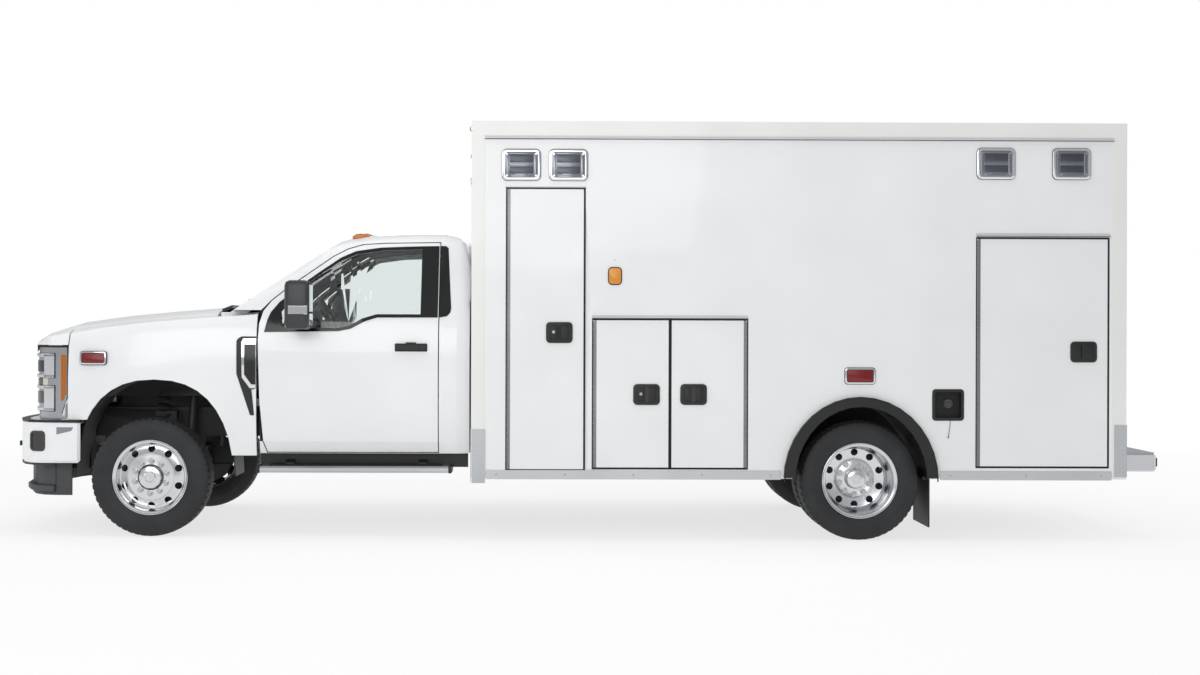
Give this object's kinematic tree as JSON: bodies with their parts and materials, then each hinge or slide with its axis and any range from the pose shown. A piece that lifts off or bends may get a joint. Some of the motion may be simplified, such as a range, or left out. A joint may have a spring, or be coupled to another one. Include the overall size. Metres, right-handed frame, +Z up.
{
  "type": "box-module ambulance on a chassis cab truck",
  "caption": "White ambulance: regular-cab truck chassis with twin rear wheels and a box module with lockers, side door and rear doors",
  "frame": {"origin": "on the ground, under the middle of the vehicle's length and width", "axes": "+X towards the rear along the vehicle's length, +Y towards its right side, +Z up"},
  "size_m": [8.072, 2.65, 2.872],
  "materials": {
    "white_paint": "gloss white enamel",
    "aluminium": "satin",
    "polished_aluminium": "polished",
    "chassis_black": "satin black",
    "cast_steel": "as cast",
    "rubber": "matt",
    "tyre": "matt",
    "black_plastic": "grained",
    "grey_plastic": "grained",
    "silver_paint": "silver",
    "seat_cloth": "woven",
    "clear_glass": "clear"
  },
  "bodies": {
    "root": {"frame": "chassis_black", "engine_block": "cast_steel", "front_axle": "chassis_black", "rear_axle": "chassis_black", "cab_shell": "white_paint", "windscreen": "clear_glass", "cab_seats": "seat_cloth", "dashboard": "grey_plastic", "fender_left": "white_paint", "fender_right": "white_paint", "inner_fenders": "black_plastic", "headlamp_left": "silver_paint", "headlamp_right": "silver_paint", "grille": "silver_paint", "front_bumper": "white_paint", "front_air_dam": "grey_plastic", "running_board_left": "aluminium", "running_board_right": "aluminium", "module_floor": "aluminium", "module_left_wall": "white_paint", "module_right_wall": "white_paint", "module_front_wall": "white_paint", "module_rear_wall": "white_paint", "module_roof": "white_paint", "rear_wheelhouse_left": "rubber", "rear_wheelhouse_right": "rubber", "rear_step": "aluminium"},
    "cab_door_left": {"cab_door_left": "white_paint", "cab_door_glass_left": "clear_glass", "mirror_left": "black_plastic"},
    "knuckle_left": {"knuckle_left": "cast_steel"},
    "front_wheel_left": {"front_tyre_left": "tyre", "front_rim_left": "polished_aluminium"},
    "rear_wheels_left": {"rear_outer_tyre_left": "tyre", "rear_inner_tyre_left": "tyre", "rear_rims_left": "polished_aluminium"},
    "rear_door_left": {"rear_door_left": "white_paint", "rear_door_glass_left": "clear_glass"},
    "cab_door_right": {"cab_door_right": "white_paint", "cab_door_glass_right": "clear_glass", "mirror_right": "black_plastic"},
    "knuckle_right": {"knuckle_right": "cast_steel"},
    "front_wheel_right": {"front_tyre_right": "tyre", "front_rim_right": "polished_aluminium"},
    "rear_wheels_right": {"rear_outer_tyre_right": "tyre", "rear_inner_tyre_right": "tyre", "rear_rims_right": "polished_aluminium"},
    "rear_door_right": {"rear_door_right": "white_paint", "rear_door_glass_right": "clear_glass"},
    "locker_door_front": {"locker_door_front": "white_paint"},
    "locker_door_pair_a": {"locker_door_pair_a": "white_paint"},
    "locker_door_pair_b": {"locker_door_pair_b": "white_paint"},
    "locker_door_rear": {"locker_door_rear": "white_paint"},
    "kerb_locker_door_front": {"kerb_locker_door_front": "white_paint"},
    "kerb_locker_door_rear": {"kerb_locker_door_rear": "white_paint"},
    "side_entry_door": {"side_entry_door": "white_paint", "side_entry_glass": "clear_glass"},
    "hood": {"hood": "white_paint"}
  },
  "joints": [
    {"name": "steer_left", "type": "hinge", "parent": "root", "child": "knuckle_left", "pos_m": [-2.981, -0.79, 0.411], "axis": [0, 0, 1], "range_deg": [-35, 35]},
    {"name": "steer_right", "type": "hinge", "parent": "root", "child": "knuckle_right", "pos_m": [-2.981, 0.79, 0.411], "axis": [0, 0, 1], "range_deg": [-35, 35]},
    {"name": "spin_front_left", "type": "hinge", "parent": "knuckle_left", "child": "front_wheel_left", "pos_m": [-2.981, -0.95, 0.411], "axis": [0, 1, 0], "continuous": true},
    {"name": "spin_rear_left", "type": "hinge", "parent": "root", "child": "rear_wheels_left", "pos_m": [1.921, -0.946, 0.411], "axis": [0, 1, 0], "continuous": true},
    {"name": "spin_front_right", "type": "hinge", "parent": "knuckle_right", "child": "front_wheel_right", "pos_m": [-2.981, 0.95, 0.411], "axis": [0, 1, 0], "continuous": true},
    {"name": "spin_rear_right", "type": "hinge", "parent": "root", "child": "rear_wheels_right", "pos_m": [1.921, 0.946, 0.411], "axis": [0, 1, 0], "continuous": true},
    {"name": "hood_hinge", "type": "hinge", "parent": "root", "child": "hood", "pos_m": [-2.616, 0, 1.549], "axis": [0, 1, 0], "range_deg": [0, 50]},
    {"name": "cab_door_hinge_left", "type": "hinge", "parent": "root", "child": "cab_door_left", "pos_m": [-2.281, -0.97, 1], "axis": [0, 0, -1], "range_deg": [0, 65]},
    {"name": "cab_door_hinge_right", "type": "hinge", "parent": "root", "child": "cab_door_right", "pos_m": [-2.281, 0.97, 1], "axis": [0, 0, 1], "range_deg": [0, 65]},
    {"name": "locker_door_front_hinge", "type": "hinge", "parent": "root", "child": "locker_door_front", "pos_m": [-0.506, -1.22, 1.4475], "axis": [0, 0, -1], "range_deg": [0, 100]},
    {"name": "locker_door_pair_a_hinge", "type": "hinge", "parent": "root", "child": "locker_door_pair_a", "pos_m": [0.085, -1.22, 1.0065], "axis": [0, 0, -1], "range_deg": [0, 100]},
    {"name": "locker_door_pair_b_hinge", "type": "hinge", "parent": "root", "child": "locker_door_pair_b", "pos_m": [1.135, -1.22, 1.0065], "axis": [0, 0, 1], "range_deg": [0, 100]},
    {"name": "locker_door_rear_hinge", "type": "hinge", "parent": "root", "child": "locker_door_rear", "pos_m": [2.717, -1.22, 1.296], "axis": [0, 0, -1], "range_deg": [0, 100]},
    {"name": "kerb_locker_door_front_hinge", "type": "hinge", "parent": "root", "child": "kerb_locker_door_front", "pos_m": [-0.584, 1.22, 1.4475], "axis": [0, 0, 1], "range_deg": [0, 100]},
    {"name": "side_entry_door_hinge", "type": "hinge", "parent": "root", "child": "side_entry_door", "pos_m": [0.006, 1.22, 1.4625], "axis": [0, 0, 1], "range_deg": [0, 100]},
    {"name": "kerb_locker_door_rear_hinge", "type": "hinge", "parent": "root", "child": "kerb_locker_door_rear", "pos_m": [2.717, 1.22, 1.296], "axis": [0, 0, 1], "range_deg": [0, 100]},
    {"name": "rear_door_hinge_left", "type": "hinge", "parent": "root", "child": "rear_door_left", "pos_m": [3.741, -0.643, 1.816], "axis": [0, 0, -1], "range_deg": [0, 150]},
    {"name": "rear_door_hinge_right", "type": "hinge", "parent": "root", "child": "rear_door_right", "pos_m": [3.741, 0.643, 1.816], "axis": [0, 0, 1], "range_deg": [0, 150]}
  ],
  "couplings": [
    {"joint": "steer_right", "follows": "steer_left", "ratio": 1}
  ]
}
